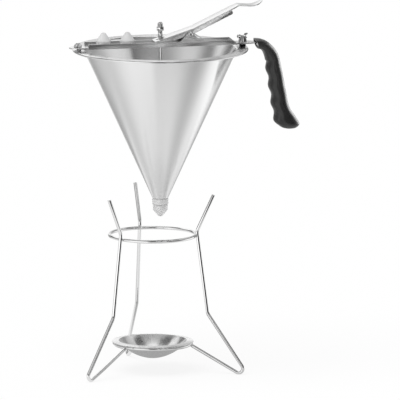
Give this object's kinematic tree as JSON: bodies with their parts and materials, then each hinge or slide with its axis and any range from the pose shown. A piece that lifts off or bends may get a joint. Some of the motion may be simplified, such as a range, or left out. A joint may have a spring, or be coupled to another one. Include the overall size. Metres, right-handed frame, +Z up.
{
  "type": "pancake batter dispenser",
  "caption": "Conical steel batter funnel with a lever-lifted valve rod, bridge, side grip and screw-on nozzle, above a bent-wire stand that carries a lift-out drip bowl.",
  "frame": {"origin": "on the stand's axis, on the floor that the stand's feet touch", "axes": "+Z up along the stand's axis, +X along the bridge from the funnel's axis towards the grip"},
  "size_m": [0.2695, 0.2095, 0.4284],
  "materials": {
    "satin_steel": "satin brushed stainless steel",
    "polished_steel": "polished stainless steel",
    "clear_plastic": "translucent natural polypropylene",
    "black_plastic": "semi-matt black polypropylene",
    "black_rubber": "matt black rubber",
    "white_plastic": "matt white acetal"
  },
  "bodies": {
    "stand": {"right_leg": "polished_steel", "back_leg": "polished_steel", "left_leg": "polished_steel", "upper_ring": "polished_steel", "lower_ring": "polished_steel"},
    "bowl": {"drip_bowl": "satin_steel"},
    "funnel": {"funnel_cone": "satin_steel", "outlet_ferrule": "satin_steel", "outlet_collar": "clear_plastic", "bridge": "satin_steel", "left_stud": "polished_steel", "right_stud": "polished_steel", "left_spacer": "black_rubber", "right_spacer": "black_rubber", "cap_nut": "polished_steel", "pivot_rivet": "polished_steel", "lever_spring": "polished_steel", "grip": "black_plastic", "grip_insert": "satin_steel"},
    "lever": {"lever": "satin_steel"},
    "valve": {"valve_rod": "polished_steel", "rod_sleeve": "polished_steel", "dome_nut": "polished_steel", "jam_nut": "polished_steel", "valve_plug": "white_plastic"},
    "wing": {"wing_nut": "polished_steel"},
    "tip": {"nozzle": "clear_plastic"},
    "left_spare": {"spare_nozzle_left": "clear_plastic"},
    "right_spare": {"spare_nozzle_right": "clear_plastic"}
  },
  "joints": [
    {"name": "drip_bowl_lift", "type": "slide", "parent": "stand", "child": "bowl", "axis": [0, 0, 1], "range_m": [0, 0.09]},
    {"name": "funnel_lift", "type": "slide", "parent": "stand", "child": "funnel", "axis": [0.0716, 0, 0.9974], "range_m": [-0.12572, 0.04]},
    {"name": "lever_press", "type": "hinge", "parent": "funnel", "child": "lever", "pos_m": [0.0419, 0, 0.3922], "axis": [0, 1, 0], "range_deg": [0, 12], "stiffness_Nm_per_rad": 0.8, "springref_deg": -20.05, "deforming": ["lever_spring"]},
    {"name": "valve_lift", "type": "slide", "parent": "funnel", "child": "valve", "axis": [0, 0, 1], "range_m": [0, 0.0072]},
    {"name": "wing_nut_turn", "type": "hinge", "parent": "funnel", "child": "wing", "pos_m": [0.1055, 0, 0.3835], "axis": [0, 0, 1], "range_deg": [0, 720]},
    {"name": "nozzle_removal", "type": "slide", "parent": "funnel", "child": "tip", "axis": [0, 0, -1], "range_m": [0, 0.02]},
    {"name": "left_spare_lift", "type": "slide", "parent": "funnel", "child": "left_spare", "axis": [0, 0, 1], "range_m": [0, 0.04]},
    {"name": "right_spare_lift", "type": "slide", "parent": "funnel", "child": "right_spare", "axis": [0, 0, 1], "range_m": [0, 0.04]}
  ],
  "couplings": [
    {"joint": "valve_lift", "follows": "lever_press", "m_per_rad": 0.033}
  ]
}
